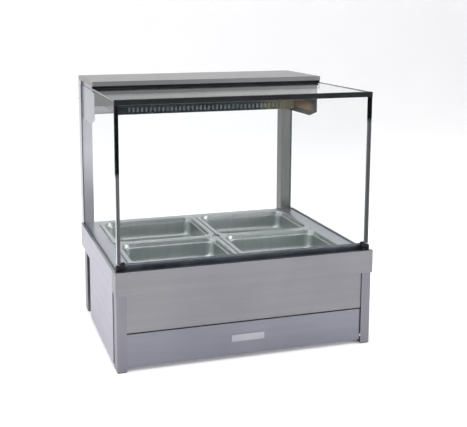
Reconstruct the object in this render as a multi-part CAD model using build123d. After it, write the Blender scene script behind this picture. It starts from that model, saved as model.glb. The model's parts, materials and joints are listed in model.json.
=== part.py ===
from build123d import *
import math
import os

# Hot food display case. Millimetres, +Z up, customer side towards -Y.
# Origin: middle of the overall width and depth, at the surface the feet stand on.
# Each sub-part is drawn about the middle of the base, then moved by CENTRE_Y,
# because the canopy and its posts overhang the base at the rear.

# Overall sizes
BASE_W = 765.0
BASE_D = 600.0
CASE_H = 770.0
REAR_OVERHANG = 50.0
CENTRE_Y = -REAR_OVERHANG / 2
SHEET = 1.2

# Base heights
PANEL_BOTTOM_Z = 12.0
GAP_LOW_Z = 107.5
GAP_HIGH_Z = 111.5
SKIRT_BOTTOM_Z = 220.0
DECK_Z = 280.0
SKIRT_TOP_Z = 287.0
NOTCH_Y = 135.0
NOTCH_Z = 204.0
SIDE_FRONT_Y = -249.5

# Corner legs: folded angle, short flange to the front, long flange to the side
LEG_FLANGE = 28.0
LEG_SIDE = 45.0
LEG_T = 1.5
LEG_OUT_X = 380.0
LEG_FRONT_Y = -294.0
LEG_REAR_Y = 207.0
LEG_BOTTOM_Z = 2.0

# Half-size gastronorm pans
PAN_L = 325.0
PAN_W = 265.0
PAN_DEPTH = 65.0
PAN_WALL = 1.0
PAN_GAP = 4.0
PAN_PITCH_X = PAN_L + PAN_GAP
PAN_PITCH_Y = PAN_W + PAN_GAP
PAN_REST_Z = DECK_Z + 0.3

# Deck opening and bars
OPEN_X = 318.0
OPEN_Y = 258.0
BAR_HALF = 7.0
BAR_LOW_Z = 266.0

# Heated well under the deck
WELL_X = 332.0
WELL_Y = 266.0
WELL_Z = 160.0
ELEMENT_Z = 185.0
ELEMENT_R = 4.0

# Rear control shell
SHELL_X = 348.0
SHELL_Y = 272.0

# Glass
GLASS_T = 6.0
SIDE_GLASS_X = 374.0
GLASS_FRONT_Y = -284.0
GLASS_LOW_Z = 302.0
TOP_GLASS_Z = 744.0
TRIM_LOW_Z = 736.0
TRIM_TOP_Z = 750.5
PIVOT_Y = -281.0
PIVOT_Z = 296.0
PIN_R = 3.0
PIN_CLEAR = 0.05
CLAMP_TOP_Z = 309.0
LEDGE_TOP_Z = 303.5

# Rear posts, fixed to the back of the base
POST_IN_X = 336.0
POST_FRONT_Y = BASE_D / 2
POST_REAR_Y = 344.0
POST_LOW_Z = 206.0
POST_TOP_Z = 756.2

# Canopy
COVER_X = 372.5
COVER_FRONT_Y = 67.0
COVER_REAR_Y = BASE_D / 2 + REAR_OVERHANG
COVER_LIP = 13.6
CANOPY_X = 366.0
CANOPY_FRONT_Y = 72.5
CANOPY_REAR_Y = POST_FRONT_Y
CANOPY_LOW_Z = 652.0
END_LOW_Z = 634.5
FASCIA_LOW_Z = 695.0
CHANNEL_LOW_Z = 737.0
REAR_LOW_Z = 645.0

# Lamp housing inside the canopy: slotted front, reflector, lamps and wire guard
HOUSING_X = 300.0
HOUSING_Y = 110.0
HOUSING_LOW_Z = 661.8
SLOT_COUNT = 38
SLOT_PITCH = 13.65
SLOT_W = 6.0
SLOT_H = 15.0
SLOT_MID_Z = 676.0
REFLECTOR_LOW_Z = 668.0
FLANGE_LOW_Z = 686.0
REFLECTOR_TOP_Z = 730.0
LAMP_Z = 702.0
LAMP_YS = (160.0, 232.0)
LAMP_X = 268.0
GUARD_Z = 666.5

# Controls on the rear shell
KNOB_X = 230.0
KNOB_Z = 120.0
SPINDLE_R = 3.0
HEAT_SWITCH_X = 130.0
LAMP_SWITCH_X = 80.0
SWITCH_Z = 120.0
ROCKER_TILT = 8.0
LIGHT_X = 178.0
GLAND_X = -300.0
GLAND_Z = 60.0
GLAND_BORE_R = 4.5


def slab(x0, x1, y0, y1, z0, z1):
    """Rectangular block between two corners."""
    block = Box(x1 - x0, y1 - y0, z1 - z0)
    return Pos((x0 + x1) / 2, (y0 + y1) / 2, (z0 + z1) / 2) * block


def pair(x0, x1, y0, y1, z0, z1, side):
    """Block given by its distances from the centre plane, on one side (+1 or -1)."""
    low = min(side * x0, side * x1)
    high = max(side * x0, side * x1)
    return slab(low, high, y0, y1, z0, z1)


def rod_x(x0, x1, y, z, r):
    """Round bar along X."""
    return Pos((x0 + x1) / 2, y, z) * Rot(0, 90, 0) * Cylinder(r, x1 - x0)


def rod_y(y0, y1, x, z, r):
    """Round bar along Y."""
    return Pos(x, (y0 + y1) / 2, z) * Rot(90, 0, 0) * Cylinder(r, y1 - y0)


def plate_yz(points, x0, x1):
    """Flat plate cut to a (y, z) outline, between two X positions."""
    face = Plane.YZ * make_face(Polyline(*points, close=True))
    return Pos(x0, 0, 0) * extrude(face, x1 - x0)


def front_skirt():
    """Overhanging band round the front of the base, folded in along its top and bottom."""
    hx = BASE_W / 2
    fy = -BASE_D / 2
    band = slab(-hx, hx, fy, fy + SHEET, SKIRT_BOTTOM_Z, SKIRT_TOP_Z)
    band += slab(-hx, hx, fy + SHEET, -287.0, SKIRT_TOP_Z - SHEET, SKIRT_TOP_Z)
    band += slab(-hx, hx, -287.0 - SHEET, -287.0, DECK_Z, SKIRT_TOP_Z - SHEET)
    band += slab(-hx, hx, fy + SHEET, LEG_FRONT_Y - 0.3, SKIRT_BOTTOM_Z, SKIRT_BOTTOM_Z + SHEET)
    for side in (-1, 1):
        band += pair(hx - SHEET, hx, fy + SHEET, -250.0, SKIRT_BOTTOM_Z, DECK_Z, side)
        band += pair(hx - SHEET, hx, fy + SHEET, -287.0, DECK_Z, SKIRT_TOP_Z, side)
        low = SKIRT_BOTTOM_Z
        band += pair(LEG_OUT_X + 0.3, hx - SHEET, LEG_FRONT_Y - 0.3, -250.0, low, low + SHEET, side)
    return band


def side_panel(side):
    """Side sheet, notched at the lower rear corner, folded in along its bottom and front edges."""
    hx = BASE_W / 2
    outline = [
        (SIDE_FRONT_Y, PANEL_BOTTOM_Z),
        (NOTCH_Y, PANEL_BOTTOM_Z),
        (NOTCH_Y, NOTCH_Z),
        (BASE_D / 2, NOTCH_Z),
        (BASE_D / 2, DECK_Z),
        (SIDE_FRONT_Y, DECK_Z),
    ]
    low = min(side * hx, side * (hx - SHEET))
    panel = plate_yz(outline, low, low + SHEET)
    low_z = PANEL_BOTTOM_Z
    panel += pair(369.0, hx - SHEET, -248.7, NOTCH_Y - 2.0, low_z, low_z + SHEET, side)
    front_y = SIDE_FRONT_Y
    fold_top = SKIRT_BOTTOM_Z
    panel += pair(LEG_OUT_X + 0.3, hx - SHEET, front_y, front_y + SHEET, low_z, fold_top, side)
    return panel


def deck_plate():
    """Top sheet of the base with one rounded opening and a turned-down lip round it."""
    hx = BASE_W / 2 - SHEET
    hy = BASE_D / 2 - SHEET
    deck = slab(-hx, hx, -hy, hy, DECK_Z - SHEET, DECK_Z)
    lip_low = BAR_LOW_Z
    lip = slab(-OPEN_X - SHEET, OPEN_X + SHEET, -OPEN_Y - SHEET, OPEN_Y + SHEET, lip_low, DECK_Z)
    deck += lip
    deck -= slab(-OPEN_X, OPEN_X, -OPEN_Y, OPEN_Y, lip_low - 1, DECK_Z + 1)
    return deck


def rear_skirt():
    """Band closing the rear edge of the deck, folded in at the bottom."""
    hx = BASE_W / 2 - SHEET
    hy = BASE_D / 2
    band = slab(-hx, hx, hy - SHEET, hy, NOTCH_Z, DECK_Z)
    band += slab(-hx, hx, hy - 15.0, hy - SHEET, NOTCH_Z, NOTCH_Z + SHEET)
    return band


def pan_bar_long():
    """Inverted channel between the front and rear pans."""
    bar = slab(-OPEN_X, OPEN_X, -BAR_HALF, BAR_HALF, BAR_LOW_Z, DECK_Z)
    bar -= slab(-OPEN_X - 1, OPEN_X + 1, -BAR_HALF + 1.5, BAR_HALF - 1.5, BAR_LOW_Z - 1, DECK_Z - 1.5)
    return bar


def pan_bar_short(side):
    """Inverted channel between the left and right pans, on one side of the long bar."""
    y0 = min(side * BAR_HALF, side * OPEN_Y)
    y1 = max(side * BAR_HALF, side * OPEN_Y)
    bar = slab(-BAR_HALF, BAR_HALF, y0, y1, BAR_LOW_Z, DECK_Z)
    bar -= slab(-BAR_HALF + 1.5, BAR_HALF - 1.5, y0 - 1, y1 + 1, BAR_LOW_Z - 1, DECK_Z - 1.5)
    return bar


def rounded_block(length, width, radius, z0, z1):
    """Block with rounded upright corners."""
    return Pos(0, 0, z0) * extrude(RectangleRounded(length, width, radius), z1 - z0)


def pan_form(grow, floor_z, step_z, top_z):
    """Solid shape of a pan: shallow upper step, then a deep bowl with soft lower edges."""
    upper = rounded_block(298 + 2 * grow, 238 + 2 * grow, 32 + grow, step_z, top_z)
    bowl = rounded_block(290 + 2 * grow, 230 + 2 * grow, 28 + grow, floor_z, step_z)
    bowl = fillet(bowl.faces().sort_by(Axis.Z)[0].edges(), 10 + grow)
    return upper + bowl


def pan(column, row):
    """Half-size gastronorm pan: rolled rim, stacking step and deep rounded bowl."""
    rim_low = PAN_REST_Z
    rim_top = PAN_REST_Z + 4.0
    rim = rounded_block(PAN_L, PAN_W, 20, rim_low, rim_top)
    rim -= rounded_block(PAN_L - 2.4, PAN_W - 2.4, 18.8, rim_low - 1, rim_top - 1.2)
    rim = fillet(rim.faces().sort_by(Axis.Z)[-1].edges(), 1.0)
    floor_z = rim_top - PAN_DEPTH
    step_z = PAN_REST_Z - 10.0
    outer = pan_form(PAN_WALL, floor_z, step_z, rim_top - 1.2)
    inner = pan_form(0.0, floor_z + PAN_WALL, step_z + PAN_WALL, rim_top + 1.0)
    shape = rim + outer - inner
    return Pos(column * PAN_PITCH_X / 2, row * PAN_PITCH_Y / 2, 0) * shape


def well_tank():
    """Open-topped heated well hanging from the deck."""
    tank = slab(-WELL_X, WELL_X, -WELL_Y, WELL_Y, WELL_Z, DECK_Z - SHEET)
    inner_x = WELL_X - SHEET
    inner_y = WELL_Y - SHEET
    tank -= slab(-inner_x, inner_x, -inner_y, inner_y, WELL_Z + SHEET, DECK_Z)
    return tank


def heating_element(row):
    """Hairpin tube element lying in the well."""
    mid = row * 132.0
    half = 60.0
    bend_x = -230.0
    end_x = WELL_X - SHEET
    first = Line((end_x, mid - half, ELEMENT_Z), (bend_x, mid - half, ELEMENT_Z))
    bend = ThreePointArc(
        (bend_x, mid - half, ELEMENT_Z),
        (bend_x - half, mid, ELEMENT_Z),
        (bend_x, mid + half, ELEMENT_Z),
    )
    last = Line((bend_x, mid + half, ELEMENT_Z), (end_x, mid + half, ELEMENT_Z))
    path = Wire([first, bend, last])
    start = Plane(origin=(end_x, mid - half, ELEMENT_Z), z_dir=(-1, 0, 0))
    return sweep(start * Circle(ELEMENT_R), path)


def element_supports():
    """Upright strips that carry the elements above the well floor."""
    strips = []
    for row in (-1, 1):
        for x in (-170.0, 170.0):
            mid = row * 132.0
            top = ELEMENT_Z - ELEMENT_R
            strips.append(slab(x - 1.5, x + 1.5, mid - 72, mid + 72, WELL_Z + SHEET, top))
    return Compound(strips)


def front_upper_panel():
    """Upper front panel between the front legs, with folded edges."""
    x = LEG_OUT_X - LEG_FLANGE - 0.5
    y0 = -291.0
    panel = slab(-x, x, y0, y0 + SHEET, GAP_HIGH_Z, 250.0)
    panel += slab(-x, x, y0 + SHEET, -270.0, 250.0 - SHEET, 250.0)
    panel += slab(-x, x, y0 + SHEET, -276.0, GAP_HIGH_Z, GAP_HIGH_Z + SHEET)
    for side in (-1, 1):
        panel += pair(x - SHEET, x, y0 + SHEET, -276.0, GAP_HIGH_Z + SHEET, 250.0 - SHEET, side)
    return panel


def lower_front_panel():
    """Lower front panel, set back slightly, with folded edges."""
    x = LEG_OUT_X - LEG_FLANGE - 0.5
    y0 = -289.5
    panel = slab(-x, x, y0, y0 + SHEET, PANEL_BOTTOM_Z, GAP_LOW_Z)
    panel += slab(-x, x, y0 + SHEET, -276.0, GAP_LOW_Z - SHEET, GAP_LOW_Z)
    panel += slab(-x, x, y0 + SHEET, -270.0, PANEL_BOTTOM_Z, PANEL_BOTTOM_Z + SHEET)
    for side in (-1, 1):
        low_z = PANEL_BOTTOM_Z + SHEET
        panel += pair(x - SHEET, x, y0 + SHEET, -276.0, low_z, GAP_LOW_Z - SHEET, side)
    return panel


def badge_plate():
    """Blank name plate with a raised border."""
    plate = Pos(0, -290.05, 61.8) * Box(98, 1.1, 20.4)
    plate = fillet(plate.edges().filter_by(Axis.Y), 2.0)
    plate -= Pos(0, -290.5, 61.8) * Box(94, 0.4, 16.4)
    return plate


def leg(side, front_y):
    """Folded corner angle from the floor up to the deck."""
    top = DECK_Z - SHEET
    inner = LEG_OUT_X - LEG_FLANGE
    post = pair(inner, LEG_OUT_X, front_y, front_y + LEG_T, LEG_BOTTOM_Z, top, side)
    rear = front_y + LEG_SIDE
    post += pair(LEG_OUT_X - LEG_T, LEG_OUT_X, front_y + LEG_T, rear, LEG_BOTTOM_Z, top, side)
    return post


def feet():
    """Nylon pads in the bottoms of the four legs."""
    pads = []
    for side in (-1, 1):
        for front_y in (LEG_FRONT_Y, LEG_REAR_Y):
            y0 = front_y + LEG_T
            pads.append(pair(355.0, LEG_OUT_X - LEG_T, y0, y0 + 27.0, 0.0, 12.0, side))
    return Compound(pads)


def bottom_tray():
    """Sheet closing the underside of the base."""
    z0 = PANEL_BOTTOM_Z
    z1 = z0 + SHEET
    tray = slab(-348.0, 348.0, -269.8, -248.5, z0, z1)
    tray += slab(-368.7, 368.7, -248.5, 132.3, z0, z1)
    tray += slab(-346.5, 346.5, 132.3, 270.5, z0, z1)
    return tray


def rear_body_shell():
    """Recessed rear body: control panel, two recess sides and their outward flanges."""
    top = DECK_Z - SHEET
    low = PANEL_BOTTOM_Z
    back = slab(-SHELL_X, SHELL_X, SHELL_Y - SHEET, SHELL_Y, low, top)
    shell = back
    for side in (-1, 1):
        shell += pair(SHELL_X - SHEET, SHELL_X, NOTCH_Y - 1.5, SHELL_Y - SHEET, low, top, side)
        outer = BASE_W / 2 - SHEET - 0.3
        shell += pair(SHELL_X, outer, NOTCH_Y - 1.5, NOTCH_Y - 1.5 + SHEET, low, NOTCH_Z - 0.5, side)
        for i in range(7):
            z = 60.0 + 16.0 * i
            shell -= pair(SHELL_X - 3, SHELL_X + 3, 150.0, 197.0, z, z + 5.0, side)
    shell -= rod_y(SHELL_Y - 3, SHELL_Y + 3, KNOB_X, KNOB_Z, SPINDLE_R + 1.5)
    shell -= rod_y(SHELL_Y - 3, SHELL_Y + 3, LIGHT_X, SWITCH_Z, 6.0)
    shell -= rod_y(SHELL_Y - 3, SHELL_Y + 3, GLAND_X, GLAND_Z, 8.0)
    for x in (HEAT_SWITCH_X, LAMP_SWITCH_X):
        cut_x0 = x - 13.8
        cut_x1 = x + 13.8
        shell -= slab(cut_x0, cut_x1, SHELL_Y - 3, SHELL_Y + 3, SWITCH_Z - 11.0, SWITCH_Z + 11.0)
    for i in range(14):
        x = -230.0 + 16.0 * i
        shell -= slab(x - 2.5, x + 2.5, SHELL_Y - 3, SHELL_Y + 3, 40.0, 90.0)
    return shell


def thermostat_body():
    """Thermostat behind the control panel, with a bush for the spindle."""
    body = slab(KNOB_X - 20, KNOB_X + 20, 236.0, SHELL_Y - SHEET, KNOB_Z - 22, KNOB_Z + 22)
    body -= rod_y(250.0, SHELL_Y, KNOB_X, KNOB_Z, SPINDLE_R + PIN_CLEAR)
    return body


def thermostat_dial():
    """Flat ring round the knob."""
    ring = rod_y(SHELL_Y, SHELL_Y + 1.2, KNOB_X, KNOB_Z, 28.0)
    ring -= rod_y(SHELL_Y - 1, SHELL_Y + 3, KNOB_X, KNOB_Z, 8.0)
    return ring


def thermostat_spindle():
    """Spindle that the knob is fixed to."""
    return rod_y(251.0, 290.0, KNOB_X, KNOB_Z, SPINDLE_R)


def thermostat_knob():
    """Round knob with a skirt and a raised finger grip."""
    knob = rod_y(SHELL_Y + 2.0, SHELL_Y + 7.0, KNOB_X, KNOB_Z, 20.0)
    knob += rod_y(SHELL_Y + 7.0, SHELL_Y + 22.0, KNOB_X, KNOB_Z, 16.0)
    for i in range(12):
        a = math.radians(30 * i + 15)
        x = KNOB_X + 17.6 * math.cos(a)
        z = KNOB_Z + 17.6 * math.sin(a)
        knob -= rod_y(SHELL_Y + 7.0, SHELL_Y + 23.0, x, z, 2.8)
    knob += slab(KNOB_X - 2.0, KNOB_X + 2.0, SHELL_Y + 21.0, SHELL_Y + 24.0, KNOB_Z, KNOB_Z + 14.0)
    knob -= rod_y(SHELL_Y + 1.0, 290.0, KNOB_X, KNOB_Z, SPINDLE_R)
    return knob


def switch_housing(x):
    """Rocker switch frame clipped into the panel, open to the rear."""
    housing = slab(x - 13.8, x + 13.8, 250.0, SHELL_Y, SWITCH_Z - 11.0, SWITCH_Z + 11.0)
    housing += slab(x - 16.0, x + 16.0, SHELL_Y, SHELL_Y + 2.0, SWITCH_Z - 13.5, SWITCH_Z + 13.5)
    housing -= slab(x - 12.3, x + 12.3, 262.0, SHELL_Y + 3, SWITCH_Z - 9.5, SWITCH_Z + 9.5)
    housing -= rod_x(x - 13.0, x + 13.0, SHELL_Y - 3.0, SWITCH_Z, 1.5 + PIN_CLEAR)
    return housing


def rocker(x):
    """Rocker with a dished face and two pivot pins, resting tilted."""
    outline = [(-4.5, -4), (-4.5, 4), (1.0, 8.2), (5.0, 8.2), (3.2, 0), (5.0, -8.2), (1.0, -8.2)]
    body = plate_yz(outline, -11.9, 11.9)
    body += Rot(0, 90, 0) * Cylinder(1.5, 25.4)
    return Pos(x, SHELL_Y - 3.0, SWITCH_Z) * Rot(-ROCKER_TILT, 0, 0) * body


def indicator_lamp():
    """Round pilot light with a domed lens."""
    lamp = rod_y(255.0, SHELL_Y, LIGHT_X, SWITCH_Z, 6.0)
    lamp += rod_y(SHELL_Y, SHELL_Y + 2.0, LIGHT_X, SWITCH_Z, 8.0)
    lens = Pos(LIGHT_X, SHELL_Y + 2.0, SWITCH_Z) * Sphere(6.0)
    lens -= slab(LIGHT_X - 8, LIGHT_X + 8, SHELL_Y - 8, SHELL_Y, SWITCH_Z - 8, SWITCH_Z + 8)
    return lamp + lens


def cable_gland():
    """Gland for the supply cable, with a clear bore."""
    gland = rod_y(258.0, SHELL_Y, GLAND_X, GLAND_Z, 8.0)
    hexagon = Plane.XZ.offset(-SHELL_Y) * Pos(GLAND_X, GLAND_Z) * RegularPolygon(12.0, 6)
    gland += extrude(hexagon, -6.0)
    gland += rod_y(SHELL_Y + 6.0, SHELL_Y + 16.0, GLAND_X, GLAND_Z, 9.0)
    gland -= rod_y(250.0, SHELL_Y + 20.0, GLAND_X, GLAND_Z, GLAND_BORE_R)
    return gland


def rear_post(side):
    """Square tube post standing against the back of the base and carrying the canopy."""
    x0 = POST_IN_X
    x1 = SIDE_GLASS_X
    post = pair(x0, x1, POST_FRONT_Y, POST_REAR_Y, POST_LOW_Z, POST_TOP_Z, side)
    y0 = POST_FRONT_Y + 1.5
    y1 = POST_REAR_Y - 1.5
    post -= pair(x0 + 1.5, x1 - 1.5, y0, y1, POST_LOW_Z + 1.5, POST_TOP_Z + 1, side)
    return post


def side_glass(side):
    """Upright side pane."""
    x0 = SIDE_GLASS_X - GLASS_T
    y1 = POST_FRONT_Y - 0.3
    return pair(x0, SIDE_GLASS_X, -275.2, y1, DECK_Z, TOP_GLASS_Z, side)


def front_glass():
    """Front pane."""
    y1 = GLASS_FRONT_Y + GLASS_T
    return slab(-373.5, 373.5, GLASS_FRONT_Y, y1, GLASS_LOW_Z, TRIM_TOP_Z - 2.5)


def front_glass_top_trim():
    """Channel profile along the top edge of the front pane."""
    trim = slab(-374.5, 374.5, -286.0, -276.0, TRIM_LOW_Z, TRIM_TOP_Z)
    y1 = GLASS_FRONT_Y + GLASS_T
    trim -= slab(-373.5, 373.5, GLASS_FRONT_Y, y1, TRIM_LOW_Z - 1, TRIM_TOP_Z - 2.5)
    return trim


def front_glass_side_trims():
    """Narrow strips up both side edges of the front pane."""
    strips = []
    for side in (-1, 1):
        y1 = GLASS_FRONT_Y + GLASS_T
        strip = pair(363.0, 374.5, y1, y1 + 2.0, 305.0, TRIM_LOW_Z, side)
        strip += pair(373.5, 374.5, GLASS_FRONT_Y, y1, 305.0, TRIM_LOW_Z, side)
        strips.append(strip)
    return Compound(strips)


def pivot_clamps():
    """Clamps on the lower corners of the front pane; each turns on a fixed pin."""
    clamps = []
    for side in (-1, 1):
        x0 = min(side * 352.0, side * 366.0)
        clamp = rod_x(x0, x0 + 14.0, PIVOT_Y, PIVOT_Z, 7.0)
        clamp += pair(352.0, 362.7, PIVOT_Y - 5.5, PIVOT_Y + 5.5, PIVOT_Z, CLAMP_TOP_Z, side)
        clamp -= pair(351.0, 367.0, PIVOT_Y - 3.0, PIVOT_Y + 3.0, GLASS_LOW_Z, CLAMP_TOP_Z + 1, side)
        bore_x0 = min(side * 355.0, side * 367.0)
        clamp -= rod_x(bore_x0, bore_x0 + 12.0, PIVOT_Y, PIVOT_Z, PIN_R + PIN_CLEAR)
        clamps.append(clamp)
    return Compound(clamps)


def pivot_brackets():
    """Fixed eyes standing on the deck, each with a pin pointing inwards."""
    brackets = []
    for side in (-1, 1):
        x0 = min(side * 367.0, side * 377.0)
        eye = rod_x(x0, x0 + 10.0, PIVOT_Y, PIVOT_Z, 5.4)
        eye += pair(367.0, 377.0, PIVOT_Y - 5.4, PIVOT_Y + 5.4, DECK_Z, PIVOT_Z, side)
        pin_x0 = min(side * 356.0, side * 367.0)
        eye += rod_x(pin_x0, pin_x0 + 11.0, PIVOT_Y, PIVOT_Z, PIN_R)
        brackets.append(eye)
    return Compound(brackets)


def glass_ledge():
    """Dark angle along the foot of the front pane."""
    ledge = slab(-366.5, 366.5, -271.5, -270.0, DECK_Z, LEDGE_TOP_Z)
    ledge += slab(-366.5, 366.5, -286.5, -271.5, DECK_Z, DECK_Z + 1.5)
    return ledge


def top_glass():
    """Flat pane over the front of the case."""
    return slab(-373.5, 373.5, -275.2, 80.0, TOP_GLASS_Z, TOP_GLASS_Z + GLASS_T)


def rear_glass_channel():
    """Dark profile under the cover that holds the rear edge of the top pane."""
    top = CASE_H - COVER_LIP
    profile = slab(-368.0, 368.0, 70.0, 88.0, CHANNEL_LOW_Z, top)
    profile += slab(-372.3, 372.3, 70.0, 88.0, TOP_GLASS_Z + 0.3, top)
    profile -= slab(-374.0, 374.0, 69.0, 80.0, TOP_GLASS_Z, TOP_GLASS_Z + GLASS_T)
    return profile


def canopy_cover():
    """Flat cover sheet with a separate lip along each of its four edges."""
    low = CASE_H - COVER_LIP
    under = CASE_H - SHEET
    inner_x = COVER_X - SHEET
    y0 = COVER_FRONT_Y
    y1 = COVER_REAR_Y
    pieces = [
        slab(-COVER_X, COVER_X, y0, y1, under, CASE_H),
        slab(-COVER_X, COVER_X, y0, y0 + SHEET, low, under),
        slab(-COVER_X, COVER_X, y1 - SHEET, y1, low, under),
        slab(-COVER_X, -inner_x, y0 + SHEET, y1 - SHEET, low, under),
        slab(inner_x, COVER_X, y0 + SHEET, y1 - SHEET, low, under),
    ]
    return Compound(pieces)


def canopy_front():
    """Fascia folded back at its foot, then down again as a narrower strip with upright slots."""
    x = CANOPY_X - 1.7
    y0 = CANOPY_FRONT_Y
    sheet = slab(-x, x, y0, y0 + SHEET, FASCIA_LOW_Z, CHANNEL_LOW_Z)
    sheet += slab(-x, x, y0 + SHEET, HOUSING_Y, FASCIA_LOW_Z, FASCIA_LOW_Z + SHEET)
    top = FASCIA_LOW_Z + SHEET
    sheet += slab(-HOUSING_X, HOUSING_X, HOUSING_Y, HOUSING_Y + SHEET, HOUSING_LOW_Z, top)
    first = -(SLOT_COUNT - 1) * SLOT_PITCH / 2
    for i in range(SLOT_COUNT):
        slot = Pos(first + i * SLOT_PITCH, HOUSING_Y, SLOT_MID_Z) * Rot(90, 0, 0)
        sheet -= slot * extrude(SlotOverall(SLOT_H, SLOT_W, rotation=90), 4.0, both=True)
    return sheet


def canopy_end(side):
    """Canopy end plate with a chamfered lower front corner, butting on the rear post."""
    outline = [
        (CANOPY_FRONT_Y, CANOPY_LOW_Z),
        (129.0, END_LOW_Z),
        (CANOPY_REAR_Y, END_LOW_Z),
        (CANOPY_REAR_Y, CASE_H - SHEET),
        (88.3, CASE_H - SHEET),
        (88.3, CHANNEL_LOW_Z),
        (CANOPY_FRONT_Y, CHANNEL_LOW_Z),
    ]
    low = min(side * CANOPY_X, side * (CANOPY_X - 1.5))
    return plate_yz(outline, low, low + 1.5)


def canopy_rear():
    """Canopy rear sheet between the end plates, with a folded lower edge."""
    x = CANOPY_X - 1.7
    y1 = CANOPY_REAR_Y
    sheet = slab(-x, x, y1 - SHEET, y1, REAR_LOW_Z, CASE_H - SHEET)
    sheet += slab(-x, x, y1 - 9.0, y1 - SHEET, REAR_LOW_Z, REAR_LOW_Z + SHEET)
    return sheet


def reflector():
    """Folded bright reflector above the lamps, fixed to the back of the slotted strip."""
    front = HOUSING_Y + SHEET
    top = REFLECTOR_TOP_Z
    outline = [
        (front + 1.4, FLANGE_LOW_Z),
        (front + 1.4, FLANGE_LOW_Z + 9.0),
        (124.0, top),
        (268.0, top),
        (284.0, REFLECTOR_LOW_Z),
        (285.5, REFLECTOR_LOW_Z),
        (269.2, top + 1.4),
        (122.9, top + 1.4),
        (front, FLANGE_LOW_Z + 9.6),
        (front, FLANGE_LOW_Z),
    ]
    return plate_yz(outline, 2.0 - HOUSING_X, HOUSING_X - 2.0)


def lamp_tube(y):
    """Straight lamp tube with end caps."""
    tube = rod_x(-LAMP_X, LAMP_X, y, LAMP_Z, 5.0)
    tube += rod_x(-LAMP_X - 10.0, -LAMP_X, y, LAMP_Z, 6.5)
    tube += rod_x(LAMP_X, LAMP_X + 10.0, y, LAMP_Z, 6.5)
    return tube


def lamp_holders():
    """White heat-resistant blocks hanging from the reflector at the lamp ends."""
    blocks = []
    for side in (-1, 1):
        for y in LAMP_YS:
            x0 = LAMP_X + 2.0
            block = pair(x0, x0 + 22.0, y - 11, y + 11, LAMP_Z - 10, REFLECTOR_TOP_Z, side)
            bore_x0 = min(side * (LAMP_X + 1.0), side * (LAMP_X + 10.0))
            block -= rod_x(bore_x0, bore_x0 + 9.0, y, LAMP_Z, 6.5)
            blocks.append(block)
    return Compound(blocks)


def lamp_guard():
    """Wire guard below the lamps: long rods lying on cross rods between strip and rear sheet."""
    rods = []
    reach = HOUSING_X - 8.0
    for y in (130.0, 165.0, 200.0, 235.0, 268.0):
        rods.append(rod_x(-reach, reach, y, GUARD_Z, 1.5))
    y0 = HOUSING_Y + SHEET
    for x in (-285.0, -95.0, 95.0, 285.0):
        rods.append(rod_y(y0, CANOPY_REAR_Y - SHEET, x, GUARD_Z - 2.7, 1.2))
    return Compound(rods)


def canopy_screws():
    """Dome-head screws in the outer faces of the rear posts, level with the canopy."""
    screws = []
    for side in (-1, 1):
        for z in (693.0, 736.0):
            dome = Pos(0, 0, -1.8) * Sphere(4.4) - Pos(0, 0, -5.0) * Box(12, 12, 10)
            screws.append(Pos(side * SIDE_GLASS_X, 338.5, z) * Rot(0, side * 90, 0) * dome)
    return Compound(screws)


nodes = {
    "front_skirt": front_skirt(),
    "side_panel_left": side_panel(-1),
    "side_panel_right": side_panel(1),
    "deck_plate": deck_plate(),
    "rear_skirt": rear_skirt(),
    "pan_bar_long": pan_bar_long(),
    "pan_bar_front": pan_bar_short(-1),
    "pan_bar_rear": pan_bar_short(1),
    "well_tank": well_tank(),
    "heating_element_front": heating_element(-1),
    "heating_element_rear": heating_element(1),
    "element_supports": element_supports(),
    "front_upper_panel": front_upper_panel(),
    "lower_front_panel": lower_front_panel(),
    "badge_plate": badge_plate(),
    "leg_front_left": leg(-1, LEG_FRONT_Y),
    "leg_front_right": leg(1, LEG_FRONT_Y),
    "leg_rear_left": leg(-1, LEG_REAR_Y),
    "leg_rear_right": leg(1, LEG_REAR_Y),
    "feet": feet(),
    "bottom_tray": bottom_tray(),
    "rear_body_shell": rear_body_shell(),
    "thermostat_body": thermostat_body(),
    "thermostat_dial": thermostat_dial(),
    "thermostat_spindle": thermostat_spindle(),
    "thermostat_knob": thermostat_knob(),
    "heat_switch_housing": switch_housing(HEAT_SWITCH_X),
    "lamp_switch_housing": switch_housing(LAMP_SWITCH_X),
    "heat_switch_rocker": rocker(HEAT_SWITCH_X),
    "lamp_switch_rocker": rocker(LAMP_SWITCH_X),
    "indicator_lamp": indicator_lamp(),
    "cable_gland": cable_gland(),
    "rear_post_left": rear_post(-1),
    "rear_post_right": rear_post(1),
    "side_glass_left": side_glass(-1),
    "side_glass_right": side_glass(1),
    "front_glass": front_glass(),
    "front_glass_top_trim": front_glass_top_trim(),
    "front_glass_side_trims": front_glass_side_trims(),
    "pivot_clamps": pivot_clamps(),
    "pivot_brackets": pivot_brackets(),
    "glass_ledge": glass_ledge(),
    "top_glass": top_glass(),
    "rear_glass_channel": rear_glass_channel(),
    "canopy_cover": canopy_cover(),
    "canopy_front": canopy_front(),
    "canopy_end_left": canopy_end(-1),
    "canopy_end_right": canopy_end(1),
    "canopy_rear": canopy_rear(),
    "reflector": reflector(),
    "lamp_tube_front": lamp_tube(LAMP_YS[0]),
    "lamp_tube_rear": lamp_tube(LAMP_YS[1]),
    "lamp_holders": lamp_holders(),
    "lamp_guard": lamp_guard(),
    "canopy_screws": canopy_screws(),
    "pan_front_left": pan(-1, -1),
    "pan_front_right": pan(1, -1),
    "pan_rear_left": pan(-1, 1),
    "pan_rear_right": pan(1, 1),
}

os.makedirs("parts", exist_ok=True)
for name, shape in nodes.items():
    export_step(Pos(0, CENTRE_Y, 0) * shape, "parts/" + name + ".step")
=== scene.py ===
import json
import math

import bmesh
import bpy
from mathutils import Matrix, Vector


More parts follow.
